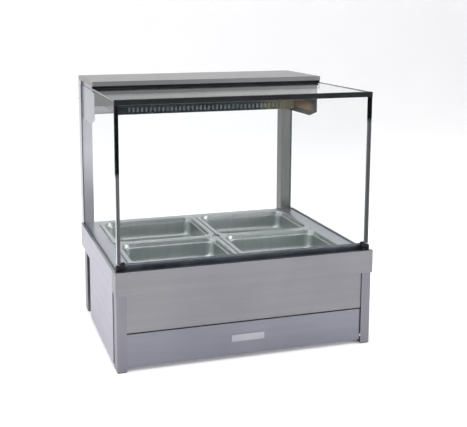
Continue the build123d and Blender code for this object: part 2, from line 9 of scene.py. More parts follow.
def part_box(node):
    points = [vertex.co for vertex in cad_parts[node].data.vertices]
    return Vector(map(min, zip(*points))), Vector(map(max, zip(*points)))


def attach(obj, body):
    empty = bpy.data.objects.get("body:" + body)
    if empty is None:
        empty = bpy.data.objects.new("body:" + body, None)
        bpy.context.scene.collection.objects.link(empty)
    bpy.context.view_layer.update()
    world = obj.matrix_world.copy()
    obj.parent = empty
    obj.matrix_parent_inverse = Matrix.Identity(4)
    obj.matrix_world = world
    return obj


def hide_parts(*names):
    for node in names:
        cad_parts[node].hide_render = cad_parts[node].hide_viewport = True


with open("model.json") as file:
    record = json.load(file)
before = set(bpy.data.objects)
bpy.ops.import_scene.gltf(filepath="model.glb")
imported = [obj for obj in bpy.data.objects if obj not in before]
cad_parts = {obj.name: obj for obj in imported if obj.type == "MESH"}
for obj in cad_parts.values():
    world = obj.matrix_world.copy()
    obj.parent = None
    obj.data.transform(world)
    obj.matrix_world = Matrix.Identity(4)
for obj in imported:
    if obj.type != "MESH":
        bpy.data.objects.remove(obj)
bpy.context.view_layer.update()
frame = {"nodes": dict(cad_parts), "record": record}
MM = 0.001
NODES = frame["nodes"]
SCENE = bpy.context.scene


# ---------------------------------------------------------------- materials


def new_material(name):
    """Empty node material with one Principled shader wired to the output."""
    mat = bpy.data.materials.new(name)
    mat.use_nodes = True
    tree = mat.node_tree
    tree.nodes.clear()
    out = tree.nodes.new("ShaderNodeOutputMaterial")
    shader = tree.nodes.new("ShaderNodeBsdfPrincipled")
    tree.links.new(shader.outputs["BSDF"], out.inputs["Surface"])
    return mat, tree, shader


def noise(tree, scale, stretch=(1, 1, 1), detail=3.0, distortion=0.0):
    """Noise in the object's own metres, squeezed along each axis by stretch."""
    coords = tree.nodes.new("ShaderNodeTexCoord")
    mapping = tree.nodes.new("ShaderNodeMapping")
    mapping.inputs["Scale"].default_value = stretch
    tex = tree.nodes.new("ShaderNodeTexNoise")
    tex.inputs["Scale"].default_value = scale
    tex.inputs["Detail"].default_value = detail
    tex.inputs["Distortion"].default_value = distortion
    tree.links.new(coords.outputs["Object"], mapping.inputs["Vector"])
    tree.links.new(mapping.outputs["Vector"], tex.inputs["Vector"])
    return tex.outputs["Fac"]


def spread(tree, value, low, high, from_low=0.3, from_high=0.7):
    """The value moved from one range to another, clamped."""
    node = tree.nodes.new("ShaderNodeMapRange")
    node.inputs["From Min"].default_value = from_low
    node.inputs["From Max"].default_value = from_high
    node.inputs["To Min"].default_value = low
    node.inputs["To Max"].default_value = high
    tree.links.new(value, node.inputs["Value"])
    return node.outputs["Result"]


def blend_colours(tree, factor, first, second):
    """Colour between two others, each a plain colour or a socket."""
    node = tree.nodes.new("ShaderNodeMix")
    node.data_type = "RGBA"
    tree.links.new(factor, node.inputs["Factor"])
    for socket, colour in ((node.inputs[6], first), (node.inputs[7], second)):
        if isinstance(colour, bpy.types.NodeSocket):
            tree.links.new(colour, socket)
        else:
            socket.default_value = (*colour, 1.0)
    return node.outputs[2]


def add_bump(tree, shader, height, strength, distance):
    """Surface relief from a height value."""
    bump = tree.nodes.new("ShaderNodeBump")
    bump.inputs["Strength"].default_value = strength
    bump.inputs["Distance"].default_value = distance
    tree.links.new(height, bump.inputs["Height"])
    tree.links.new(bump.outputs["Normal"], shader.inputs["Normal"])


STREAK = 0.012
GRAIN = {"X": (STREAK, 1, 1), "Y": (1, STREAK, 1), "Z": (1, 1, STREAK)}


def brushed_steel(name, light, dark, grain, roughness):
    """Brushed stainless sheet: fine lines along the grain, soft cloudy handling marks."""
    mat, tree, shader = new_material(name)
    lines = noise(tree, 900.0, GRAIN[grain], 4.0)
    bands = noise(tree, 60.0, GRAIN[grain], 2.0)
    clouds = noise(tree, 5.0, (1, 1, 1), 2.0, 0.3)
    base = blend_colours(tree, spread(tree, clouds, 0.0, 1.0), dark, light)
    lined = blend_colours(tree, spread(tree, bands, 0.0, 0.18), base, [c * 0.84 for c in dark])
    bright = [min(1, c * 1.15) for c in light]
    final = blend_colours(tree, spread(tree, lines, 0.0, 0.22), lined, bright)
    tree.links.new(final, shader.inputs["Base Color"])
    tree.links.new(
        spread(tree, bands, roughness - 0.02, roughness + 0.04),
        shader.inputs["Roughness"],
    )
    shader.inputs["Metallic"].default_value = 1.0
    add_bump(tree, shader, lines, 0.1, 0.4 * MM)
    return mat


def pressed_steel(name, light, dark, roughness):
    """Bright pressed stainless with faint draw marks and dried water spots."""
    mat, tree, shader = new_material(name)
    waves = noise(tree, 16.0, (1, 1, 0.35), 2.0, 0.6)
    spots = noise(tree, 240.0, (1, 1, 1), 3.0)
    film = noise(tree, 34.0, (1, 1, 0.3), 4.0, 1.5)
    base = blend_colours(tree, spread(tree, film, 0.0, 1.0), dark, light)
    tree.links.new(base, shader.inputs["Base Color"])
    tree.links.new(
        spread(tree, spots, roughness - 0.02, roughness + 0.05, 0.4, 0.8),
        shader.inputs["Roughness"],
    )
    shader.inputs["Metallic"].default_value = 1.0
    add_bump(tree, shader, waves, 0.2, 3.0 * MM)
    return mat


def moulded(name, light, dark, roughness, grain_size=1400.0, metallic=0.0, shine=0.5):
    """Moulded plastic, rubber or painted metal with a fine texture and slight fading."""
    mat, tree, shader = new_material(name)
    texture = noise(tree, grain_size, (1, 1, 1), 2.0)
    fade = noise(tree, 22.0, (1, 1, 1), 4.0, 0.8)
    tree.links.new(
        blend_colours(tree, spread(tree, fade, 0.0, 1.0), dark, light), shader.inputs["Base Color"]
    )
    tree.links.new(
        spread(tree, fade, roughness - 0.06, roughness + 0.1), shader.inputs["Roughness"]
    )
    shader.inputs["Metallic"].default_value = metallic
    shader.inputs["Specular IOR Level"].default_value = shine
    add_bump(tree, shader, texture, 0.2, 0.3 * MM)
    return mat


def position(tree):
    """The three coordinates of the shaded point in the object's own metres."""
    coords = tree.nodes.new("ShaderNodeTexCoord")
    split = tree.nodes.new("ShaderNodeSeparateXYZ")
    tree.links.new(coords.outputs["Object"], split.inputs["Vector"])
    return split.outputs


def math_node(tree, operation, first, second):
    """Sum, product and the like of two values, each a number or a socket."""
    node = tree.nodes.new("ShaderNodeMath")
    node.operation = operation
    for socket, value in zip(node.inputs, (first, second)):
        if isinstance(value, bpy.types.NodeSocket):
            tree.links.new(value, socket)
        else:
            socket.default_value = value
    return node.outputs[0]


def window(tree, value, rise, fall):
    """One between two ramps along a value, zero outside them."""
    return math_node(
        tree,
        "MULTIPLY",
        spread(tree, value, 0.0, 1.0, *rise),
        spread(tree, value, 1.0, 0.0, *fall),
    )


def over_base(mat, factor, colour, metallic=None):
    """Lays another colour over a finished material's base colour where the factor is high."""
    tree = mat.node_tree
    shader = next(n for n in tree.nodes if n.type == "BSDF_PRINCIPLED")
    below = shader.inputs["Base Color"].links[0].from_socket
    mixed = blend_colours(tree, factor, below, colour)
    tree.links.new(mixed, shader.inputs["Base Color"])
    if metallic is not None:
        start = shader.inputs["Metallic"].default_value
        tree.links.new(spread(tree, factor, start, metallic, 0.0, 1.0), shader.inputs["Metallic"])


FASCIA_BACK = (0.078, 0.083)
LAMP_GLOW_FROM_X = (0.17, 0.21)


def louvred_front(name):
    """Canopy front: plain steel fascia; the slotted strip set back behind it much darker, with a
    painted warm glow of lamp light towards its right end.
    """
    mat = brushed_steel(name, (0.225, 0.23, 0.225), (0.19, 0.195, 0.19), "X", 0.34)
    tree = mat.node_tree
    place = position(tree)
    set_back = spread(tree, place["Y"], 0.0, 1.0, *FASCIA_BACK)
    over_base(mat, set_back, (0.022, 0.030, 0.034))
    # painted light: a warm glow of lamp light laid on the right end of the set-back strip
    painted_lamp_glow = spread(tree, place["X"], 0.0, 1.0, *LAMP_GLOW_FROM_X)
    over_base(mat, math_node(tree, "MULTIPLY", set_back, painted_lamp_glow), (0.085, 0.080, 0.055))
    return mat


def end_plate(name, inward):
    """Canopy end plate: clean outside; painted shade on the face towards the lamps, with a painted
    warm pool of lamp light on it.
    """
    mat = brushed_steel(name, (0.50, 0.49, 0.54), (0.44, 0.43, 0.48), "Z", 0.34)
    tree = mat.node_tree
    # painted shade: the inner face, towards the lamps, gets the colour laid on below
    geometry = tree.nodes.new("ShaderNodeNewGeometry")
    split = tree.nodes.new("ShaderNodeSeparateXYZ")
    tree.links.new(geometry.outputs["True Normal"], split.inputs["Vector"])
    facing = math_node(tree, "MULTIPLY", split.outputs["X"], inward)
    inside = spread(tree, facing, 0.0, 1.0, 0.4, 0.6)
    place = position(tree)
    # painted light: a warm pool of lamp light within these heights and depths
    lamp_pool_height = window(tree, place["Z"], (0.649, 0.655), (0.672, 0.682))
    lamp_pool_depth = window(tree, place["Y"], (0.070, 0.110), (0.215, 0.250))
    patch = math_node(tree, "MULTIPLY", lamp_pool_height, lamp_pool_depth)
    # near-black painted shade, with warm painted lamp light inside the pool
    tint = blend_colours(tree, patch, (0.045, 0.055, 0.050), (0.24, 0.15, 0.07))
    over_base(mat, inside, tint)
    return mat


PAINTED_REFLECTION_BELOW = (0.600, 0.616)
PAINTED_REFLECTION_SLOPE = 0.163


def edge_strip(name):
    """Narrow side strip of the front pane: black at the top, with a painted grey reflection lower
    down.
    """
    mat = moulded(name, (0.020, 0.021, 0.024), (0.010, 0.010, 0.012), 0.42, shine=0.2)
    tree = mat.node_tree
    place = position(tree)
    slope = math_node(tree, "MULTIPLY", place["X"], PAINTED_REFLECTION_SLOPE)
    height = math_node(tree, "SUBTRACT", place["Z"], slope)
    # painted reflection: grey and more metallic below a sloping line
    over_base(mat, spread(tree, height, 1.0, 0.0, *PAINTED_REFLECTION_BELOW), (0.62, 0.62, 0.64), 0.4)
    return mat


def clear_glass(name, tint, ior=1.45):
    """Clear glass that lets lamp light through to what is behind it."""
    mat, tree, shader = new_material(name)
    smears = noise(tree, 9.0, (1, 1, 0.5), 5.0, 1.6)
    shader.inputs["Transmission Weight"].default_value = 1.0
    shader.inputs["IOR"].default_value = ior
    tree.links.new(
        blend_colours(tree, spread(tree, smears, 0.0, 1.0), tint, [c * 0.985 for c in tint]),
        shader.inputs["Base Color"],
    )
    shader.inputs["Roughness"].default_value = 0.0
    through = tree.nodes.new("ShaderNodeBsdfTransparent")
    through.inputs["Color"].default_value = (0.94, 0.955, 0.95, 1.0)
    path = tree.nodes.new("ShaderNodeLightPath")
    mix = tree.nodes.new("ShaderNodeMixShader")
    tree.links.new(path.outputs["Is Shadow Ray"], mix.inputs["Fac"])
    tree.links.new(shader.outputs["BSDF"], mix.inputs[1])
    tree.links.new(through.outputs["BSDF"], mix.inputs[2])
    out = next(n for n in tree.nodes if n.type == "OUTPUT_MATERIAL")
    tree.links.new(mix.outputs["Shader"], out.inputs["Surface"])
    return mat


def glowing(name, colour, strength):
    """Hot wire: brighter in the middle of each patch of the coil."""
    mat, tree, shader = new_material(name)
    flicker = noise(tree, 400.0, (1, 1, 1), 2.0)
    tint = blend_colours(tree, spread(tree, flicker, 0.0, 1.0), [c * 0.7 for c in colour], colour)
    tree.links.new(tint, shader.inputs["Emission Color"])
    shader.inputs["Emission Strength"].default_value = strength
    shader.inputs["Base Color"].default_value = (0.2, 0.08, 0.03, 1.0)
    return mat


STEEL_FRONT = brushed_steel("steel_front", (0.240, 0.237, 0.252), (0.205, 0.205, 0.225), "X", 0.34)
STEEL_LOWER = brushed_steel("steel_lower", (0.228, 0.231, 0.268), (0.195, 0.199, 0.234), "X", 0.34)
# painted light: the side sheets get a lighter copy of the front steel
STEEL_SIDE_LIT = brushed_steel("steel_side_painted_lit", (0.40, 0.39, 0.45), (0.365, 0.355, 0.415), "Y", 0.38)
STEEL_LEG = brushed_steel("steel_leg", (0.225, 0.222, 0.25), (0.185, 0.182, 0.21), "Z", 0.32)
STEEL_REAR_LEG = brushed_steel("steel_rear_leg", (0.20, 0.20, 0.22), (0.17, 0.17, 0.19), "Z", 0.34)
# painted light and shade: the two rear posts get lit and shaded copies of one steel, pale on the left
# and near-black on the right
STEEL_POST_LIT = brushed_steel("steel_post_painted_lit", (0.55, 0.55, 0.60), (0.50, 0.50, 0.55), "Z", 0.30)
STEEL_POST_SHADED = brushed_steel(
    "steel_post_painted_shade", (0.15, 0.15, 0.15), (0.125, 0.125, 0.125), "Z", 0.30
)
STEEL_DECK = brushed_steel("steel_deck", (0.36, 0.385, 0.43), (0.31, 0.335, 0.375), "X", 0.30)
STEEL_COVER = brushed_steel("steel_cover", (0.29, 0.29, 0.29), (0.255, 0.255, 0.255), "X", 0.36)
STEEL_CANOPY = louvred_front("steel_canopy_front")
STEEL_END_LEFT = end_plate("steel_end_left", 1.0)
STEEL_END_RIGHT = end_plate("steel_end_right", -1.0)
STEEL_FIN = brushed_steel("steel_fin", (0.34, 0.40, 0.42), (0.28, 0.34, 0.36), "Z", 0.34)
STEEL_REAR = brushed_steel("steel_rear", (0.50, 0.50, 0.53), (0.44, 0.44, 0.47), "X", 0.33)
STEEL_PAN = pressed_steel("steel_pan", (0.42, 0.45, 0.45), (0.36, 0.385, 0.385), 0.36)
STEEL_WELL = pressed_steel("steel_well", (0.50, 0.50, 0.50), (0.36, 0.36, 0.36), 0.3)
REFLECTOR = pressed_steel("reflector_bright", (0.82, 0.81, 0.78), (0.70, 0.69, 0.66), 0.15)
PLATED = pressed_steel("plated_wire", (0.72, 0.72, 0.72), (0.58, 0.58, 0.58), 0.22)
BLACK_TRIM = moulded("black_trim", (0.016, 0.017, 0.019), (0.008, 0.008, 0.010), 0.42, shine=0.15)
EDGE_STRIP = edge_strip("edge_strip")
LEDGE = moulded("dark_profile", (0.105, 0.12, 0.145), (0.065, 0.075, 0.092), 0.34, 900.0, 0.6)
NYLON = moulded("nylon_black", (0.030, 0.030, 0.031), (0.016, 0.016, 0.017), 0.5)
SEAL = moulded("seal_black", (0.018, 0.018, 0.019), (0.009, 0.009, 0.010), 0.55)
SHEATH = moulded("element_sheath", (0.30, 0.27, 0.25), (0.17, 0.14, 0.13), 0.45, 500.0, 1.0)
WHITE_BLOCK = moulded("lamp_block", (0.80, 0.78, 0.73), (0.66, 0.63, 0.58), 0.5)
KNOB = moulded("knob_black", (0.028, 0.028, 0.030), (0.015, 0.015, 0.016), 0.28)
RED = moulded("rocker_red", (0.60, 0.035, 0.025), (0.42, 0.02, 0.016), 0.25)
GREEN = moulded("rocker_green", (0.03, 0.36, 0.09), (0.02, 0.24, 0.06), 0.25)
AMBER = moulded("lamp_amber", (0.92, 0.42, 0.05), (0.75, 0.26, 0.03), 0.15)
BRASS = pressed_steel("brass_turned", (0.80, 0.62, 0.30), (0.64, 0.47, 0.20), 0.28)
BADGE = brushed_steel("badge_silver", (0.40, 0.40, 0.44), (0.35, 0.35, 0.39), "X", 0.38)
DIAL = brushed_steel("dial_silver", (0.74, 0.74, 0.75), (0.62, 0.62, 0.63), "X", 0.4)
DIAL_INK = moulded("dial_ink", (0.03, 0.03, 0.035), (0.015, 0.015, 0.018), 0.5)
GLASS = clear_glass("glass_clear", (0.985, 0.995, 0.99), ior=1.16)
GLASS_TOP = clear_glass("glass_top", (0.95, 0.96, 0.955), ior=1.018)
GLASS_EDGE = moulded("glass_edge", (0.05, 0.075, 0.07), (0.016, 0.028, 0.026), 0.08)
QUARTZ = clear_glass("lamp_quartz", (1.0, 0.93, 0.84))
FILAMENT = glowing("lamp_filament", (1.0, 0.42, 0.10), 1.2)


# ---------------------------------------------------------------- carried-over CAD sheets

FINISH = {
    STEEL_FRONT: ["front_skirt", "front_upper_panel"],
    STEEL_LOWER: ["lower_front_panel"],
    STEEL_SIDE_LIT: ["side_panel_left", "side_panel_right"],
    STEEL_LEG: ["leg_front_left", "leg_front_right"],
    STEEL_REAR_LEG: ["leg_rear_left", "leg_rear_right"],
    STEEL_POST_LIT: ["rear_post_left"],
    STEEL_POST_SHADED: ["rear_post_right"],
    STEEL_DECK: ["deck_plate", "pan_bar_long", "pan_bar_front", "pan_bar_rear"],
    STEEL_COVER: ["canopy_cover"],
    STEEL_CANOPY: ["canopy_front"],
    STEEL_END_LEFT: ["canopy_end_left"],
    STEEL_END_RIGHT: ["canopy_end_right"],
    STEEL_REAR: ["rear_skirt", "rear_body_shell", "bottom_tray", "canopy_rear"],
    STEEL_WELL: ["well_tank", "element_supports"],
    REFLECTOR: ["reflector"],
    EDGE_STRIP: ["front_glass_side_trims"],
    BLACK_TRIM: [
        "front_glass_top_trim",
        "rear_glass_channel",
        "pivot_clamps",
        "pivot_brackets",
        "heat_switch_housing",
        "lamp_switch_housing",
    ],
    LEDGE: ["glass_ledge"],
    NYLON: ["feet", "thermostat_body", "cable_gland"],
    SHEATH: ["heating_element_front", "heating_element_rear"],
    WHITE_BLOCK: ["lamp_holders"],
    BADGE: ["badge_plate"],
    DIAL: ["thermostat_dial"],
    BRASS: ["thermostat_spindle"],
    AMBER: ["indicator_lamp"],
    RED: ["heat_switch_rocker"],
    GREEN: ["lamp_switch_rocker"],
    KNOB: ["thermostat_knob"],
    PLATED: ["lamp_guard", "canopy_screws"],
    QUARTZ: ["lamp_tube_front", "lamp_tube_rear"],
    GLASS: ["front_glass"],
    GLASS_TOP: ["top_glass", "side_glass_left", "side_glass_right"],
    STEEL_PAN: ["pan_front_left", "pan_front_right", "pan_rear_left", "pan_rear_right"],
}
# Bend radius in millimetres and the parts that have it
BENDS = {
    0.4: ["heat_switch_housing", "lamp_switch_housing"],
    0.5: [
        "side_panel_left",
        "side_panel_right",
        "front_upper_panel",
        "lower_front_panel",
        "front_glass_top_trim",
        "glass_ledge",
        "rear_glass_channel",
        "heat_switch_rocker",
        "lamp_switch_rocker",
        "rear_skirt",
        "pan_bar_long",
        "pan_bar_front",
        "pan_bar_rear",
    ],
    0.6: [
        "leg_front_left",
        "leg_front_right",
        "leg_rear_left",
        "leg_rear_right",
        "pivot_brackets",
    ],
    0.7: ["front_skirt", "rear_post_left", "rear_post_right"],
    0.8: ["pivot_clamps", "lamp_holders"],
    1.0: ["feet", "thermostat_body"],
}


def soften(obj, width_mm):
    """Small rounded bends on a CAD part's sharp edges."""
    weld = obj.modifiers.new("weld", "WELD")
    weld.merge_threshold = 0.01 * MM
    bevel = obj.modifiers.new("bends", "BEVEL")
    bevel.width = width_mm * MM
    bevel.segments = 2
    bevel.limit_method = "ANGLE"
    bevel.angle_limit = math.radians(40)
    bevel.harden_normals = False


for material, names in FINISH.items():
    for node in names:
        NODES[node].data.materials.clear()
        NODES[node].data.materials.append(material)
for width, names in BENDS.items():
    for node in names:
        soften(NODES[node], width)


# ---------------------------------------------------------------- built pieces


SHARP_ANGLE = math.radians(35)


def piece(name, verts, faces, body, material, smooth=True):
    """Mesh piece that rides on a body."""
    mesh = bpy.data.meshes.new(name)
    mesh.from_pydata([tuple(v) for v in verts], [], faces)
    bm = bmesh.new()
    bm.from_mesh(mesh)
    bmesh.ops.remove_doubles(bm, verts=bm.verts, dist=1e-6)
    bmesh.ops.recalc_face_normals(bm, faces=bm.faces)
    for face in bm.faces:
        face.smooth = smooth
    if smooth:
        for edge in bm.edges:
            if len(edge.link_faces) == 2 and edge.calc_face_angle(0.0) > SHARP_ANGLE:
                edge.smooth = False
    bm.to_mesh(mesh)
    bm.free()
    obj = bpy.data.objects.new(name, mesh)
    SCENE.collection.objects.link(obj)
    mesh.materials.append(material)
    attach(obj, body)
    return obj


def body_of(node):
    """Name of the CAD body that a node belongs to."""
    for body, names in frame["record"]["behaviour"]["bodies"].items():
        if node in names:
            return body
    raise ValueError(node)


def bevelled_box(low, high, width_mm, segments):
    """Box between two corners with every edge bevelled, as an open bmesh."""
    bm = bmesh.new()
    bmesh.ops.create_cube(bm, size=1.0)
    centre, size = (low + high) / 2, high - low
    for vert in bm.verts:
        vert.co = Vector(centre[i] + vert.co[i] * size[i] for i in range(3))
    width = width_mm * MM
    bmesh.ops.bevel(bm, geom=bm.edges[:], offset=width, segments=segments, affect="EDGES")
    return bm


def pane(node):
    """Glass pane with ground bevels all round; the narrow edges are dark, as thick glass looks."""
    low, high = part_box(node)
    bm = bevelled_box(low, high, 0.9, 2)
    thin = min(range(3), key=lambda i: high[i] - low[i])
    mesh = bpy.data.meshes.new(node + "_pane")
    for face in bm.faces:
        face.material_index = 0 if abs(face.normal[thin]) > 0.999 else 1
    bm.to_mesh(mesh)
    bm.free()
    obj = bpy.data.objects.new(node + "_pane", mesh)
    SCENE.collection.objects.link(obj)
    mesh.materials.append(GLASS if node == "front_glass" else GLASS_TOP)
    mesh.materials.append(GLASS_EDGE)
    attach(obj, body_of(node))
    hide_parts(node)


for node in ("front_glass", "top_glass", "side_glass_left", "side_glass_right"):
    pane(node)


CORNER_STEPS = 10


def rounded_ring(cx, cy, half_x, half_y, radius, z):
    """Points of a rounded rectangle at one height."""
    points = []
    for quarter, (sx, sy) in enumerate(((1, 1), (-1, 1), (-1, -1), (1, -1))):
        for step in range(CORNER_STEPS + 1):
            angle = math.radians(90 * (quarter + step / CORNER_STEPS))
            x = cx + sx * (half_x - radius) + radius * math.cos(angle)
            y = cy + sy * (half_y - radius) + radius * math.sin(angle)
            points.append((x, y, z))
    return points


def loft(rings):
    """Vertices and faces through rings of equal point count; the last ring is filled."""
    verts = [p for ring in rings for p in ring]
    count = len(rings[0])
    faces = []
    for i in range(len(rings) - 1):
        for j in range(count):
            k = (j + 1) % count
            faces.append((i * count + j, i * count + k, (i + 1) * count + k, (i + 1) * count + j))
    start = (len(rings) - 1) * count
    faces.append(tuple(range(start, start + count)))
    return verts, faces


def closed_loft(rings):
    """Loft with the first ring filled too."""
    verts, faces = loft(rings)
    faces.append(tuple(reversed(range(len(rings[0])))))
    return verts, faces


def circle(centre, side, up, radius, count):
    """Points evenly round a centre in the plane of two unit vectors."""
    angles = [2 * math.pi * j / count for j in range(count)]
    return [centre + (side * math.cos(a) + up * math.sin(a)) * radius for a in angles]


# Inset from the rim's outer edge and depth below the rim's top, millimetres, outside to inside
PAN_LIP = [(0.0, 3.9), (0.0, 1.5), (0.4, 0.6), (1.2, 0.1), (2.6, 0.0), (4.6, 0.35)]
PAN_FLANGE = [(8.0, 0.75), (11.4, 1.0), (12.6, 1.6), (13.2, 3.2), (13.4, 11.6), (13.8, 12.7)]
PAN_STEP = [(14.8, 13.4), (16.6, 13.7), (17.2, 14.6), (17.5, 16.0), (17.9, 36.0), (18.4, 46.6)]
PAN_FILLET_START = 18.6
PAN_FILLET_R = 16.0
PAN_FILLET_STEPS = 7
PAN_FLOOR_DEPTH = 63.6
PAN_FLOOR = [(45.0, 20.0), (75.0, 16.0), (105.0, 12.0)]
PAN_RIM_CORNER_R = 20.0
PAN_FLANGE_END = 13.4
PAN_SHEET = 0.8


def pan_rings():
    """Inset, depth and corner radius of each ring of a pan, millimetres, outside to inside."""
    rings = []
    for inset, depth in PAN_LIP + PAN_FLANGE:
        rings.append((inset, depth, PAN_RIM_CORNER_R + min(inset, PAN_FLANGE_END) * 0.9))
    for inset, depth in PAN_STEP:
        rings.append((inset, depth, 48.0 - inset))
    for step in range(1, PAN_FILLET_STEPS + 1):
        angle = math.radians(90 * step / PAN_FILLET_STEPS)
        run = PAN_FILLET_R * (1 - math.cos(angle))
        depth = PAN_FLOOR_DEPTH - PAN_FILLET_R * (1 - math.sin(angle))
        rings.append((PAN_FILLET_START + run, depth, max(30.0 - run * 0.6, 14.0)))
    for inset, radius in PAN_FLOOR:
        rings.append((inset, PAN_FLOOR_DEPTH, radius))
    return rings


def pan_piece(node):
    """Pressed pan: rolled rim, flat flange, stacking step, gently drawn walls and soft floor edge."""
    low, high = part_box(node)
    cx, cy = (low.x + high.x) / 2, (low.y + high.y) / 2
    hx, hy = (high.x - low.x) / 2, (high.y - low.y) / 2
    rings = [
        rounded_ring(cx, cy, hx - inset * MM, hy - inset * MM, corner * MM, high.z - depth * MM)
        for inset, depth, corner in pan_rings()
    ]
    verts, faces = loft(rings)
    obj = piece(node + "_pressed", verts, faces, body_of(node), STEEL_PAN)
    wall = obj.modifiers.new("sheet", "SOLIDIFY")
    wall.thickness = PAN_SHEET * MM
    wall.offset = -1.0
    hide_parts(node)


for node in ("pan_front_left", "pan_front_right", "pan_rear_left", "pan_rear_right"):
    pan_piece(node)


def tube_along(points, radius, sides):
    """Round tube swept along points."""
    rings = []
    last = len(points) - 1
    side = Vector((0, 0, 1))
    for i, point in enumerate(points):
        ahead = points[min(i + 1, last)] - points[max(i - 1, 0)]
        ahead.normalize()
        along = side.dot(ahead)
        if abs(along) < 0.99:
            side = (side - ahead * along).normalized()
        else:
            side = ahead.orthogonal().normalized()
        rings.append(circle(point, side, ahead.cross(side), radius, sides))
    return closed_loft(rings)


def turned(profile, origin, axis):
    """Turned shape: profile holds (distance along the axis, radius) from end to end."""
    axis = Vector(axis).normalized()
    side = axis.orthogonal().normalized()
    up = axis.cross(side)
    return closed_loft([circle(origin + axis * along, side, up, r, 32) for along, r in profile])


# Distance from the end and radius of the quartz tube, millimetres
QUARTZ_END = [(9.0, 4.0), (12.0, 5.0)]
# Distance from the end in millimetres, and share of the cap's full radius
CAP_PROFILE = [
    (0.0, 0.7),
    (0.8, 1.0),
    (6.5, 1.0),
    (7.5, 0.86),
    (9.2, 0.86),
    (10.0, 0.98),
    (12.0, 0.92),
    (12.6, 0.8),
]
COIL_TURNS = 80
COIL_STEPS = 8
COIL_INSET = 14 * MM
COIL_R = 1.9 * MM
WIRE_R = 0.45 * MM


def coil_points(start, length):
    """Helix of the heating wire inside a lamp, from one cap to the other."""
    points = []
    for i in range(COIL_TURNS * COIL_STEPS + 1):
        a = 2 * math.pi * i / COIL_STEPS
        along = COIL_INSET + (length - 2 * COIL_INSET) * i / (COIL_TURNS * COIL_STEPS)
        points.append(start + Vector((along, COIL_R * math.cos(a), COIL_R * math.sin(a))))
    return points


def lamp(node):
    """Quartz heat lamp: clear tube, pinched metal caps and a glowing coil inside."""
    low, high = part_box(node)
    length = high.x - low.x
    r_cap = (high.z - low.z) / 2
    start = Vector((low.x, (low.y + high.y) / 2, (low.z + high.z) / 2))
    end = start + Vector((length, 0, 0))
    near = [(along * MM, radius * MM) for along, radius in QUARTZ_END]
    far = [(length - along, radius) for along, radius in reversed(near)]
    verts, faces = turned(near + far, start, (1, 0, 0))
    tube = piece(node + "_quartz", verts, faces, body_of(node), QUARTZ)
    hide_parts(node)
    cap = [(along * MM, r_cap * share) for along, share in CAP_PROFILE]
    for tag, origin, axis in (("a", start, (1, 0, 0)), ("b", end, (-1, 0, 0))):
        verts, faces = turned(cap, origin, axis)
        piece(f"{node}_cap_{tag}", verts, faces, body_of(node), PLATED)
    verts, faces = tube_along(coil_points(start, length), WIRE_R, 5)
    piece(node + "_coil", verts, faces, body_of(node), FILAMENT)


for node in ("lamp_tube_front", "lamp_tube_rear"):
    lamp(node)


SEAL_THICKNESS = 0.9 * MM
SEAL_HEIGHT = 1.4 * MM


def strip(name, low, high, body, material):
    """Soft-edged bar between two corners, for seals and gaskets."""
    bm = bevelled_box(Vector(low), Vector(high), 0.4, 3)
    mesh = bpy.data.meshes.new(name)
    for face in bm.faces:
        face.smooth = True
    bm.to_mesh(mesh)
    bm.free()
    obj = bpy.data.objects.new(name, mesh)
    SCENE.collection.objects.link(obj)
    mesh.materials.append(material)
    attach(obj, body)


def glazing_seals(side_name, outward):
    """Black seals along both faces of a side pane, where it stands on the deck."""
    low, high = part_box("side_glass_" + side_name)
    faces_x = {1: high.x, -1: low.x}
    for tag, way in (("outer", outward), ("inner", -outward)):
        x0, x1 = sorted((faces_x[way], faces_x[way] + way * SEAL_THICKNESS))
        strip(
            f"seal_{side_name}_{tag}",
            (x0, low.y, low.z),
            (x1, high.y, low.z + SEAL_HEIGHT),
            "case",
            SEAL,
        )


glazing_seals("left", -1)
glazing_seals("right", 1)


# Sides, bottom and top of a box whose lower four corners come before its upper four
BOX_FACES = ((0, 1, 5, 4), (1, 2, 6, 5), (2, 3, 7, 6), (3, 0, 4, 7), (3, 2, 1, 0), (4, 5, 6, 7))


def box_faces(start):
    """Faces of a box whose corners begin at an index."""
    return [tuple(start + corner for corner in face) for face in BOX_FACES]


FIN_COUNT = 38
FIN_PITCH = 13.65 * MM
FIN_HALF_WIDTH = 3.4 * MM
FIN_DEPTH = 4.0 * MM
FIN_SHEET = 0.8 * MM
FIN_BOTTOM = 4.7 * MM
FIN_TOP = 23.7 * MM
FIN_GAP = 0.3 * MM


def louvre_fins():
    """Slanted fins behind the canopy slots, one to a slot."""
    low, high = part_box("canopy_front")
    front = high.y + FIN_GAP
    back = front + FIN_DEPTH
    verts, faces = [], []
    for i in range(FIN_COUNT):
        x = (i - (FIN_COUNT - 1) / 2) * FIN_PITCH
        faces += box_faces(len(verts))
        for z in (low.z + FIN_BOTTOM, low.z + FIN_TOP):
            verts += [(x - FIN_HALF_WIDTH, front, z), (x + FIN_HALF_WIDTH, back, z)]
            verts += [
                (x + FIN_HALF_WIDTH, back + FIN_SHEET, z),
                (x - FIN_HALF_WIDTH, front + FIN_SHEET, z),
            ]
    obj = piece("louvre_fins", verts, faces, "case", STEEL_FIN, smooth=False)
    edges = obj.modifiers.new("edges", "BEVEL")
    edges.width = 0.2 * MM
    edges.segments = 2


louvre_fins()


MARK_COUNT = 28
MARK_STEP_DEGREES = 10
MARK_LONG_EVERY = 9
MARK_OUTER = 26.0 * MM
MARK_SINK = 0.05 * MM
MARK_THICKNESS = 0.12 * MM


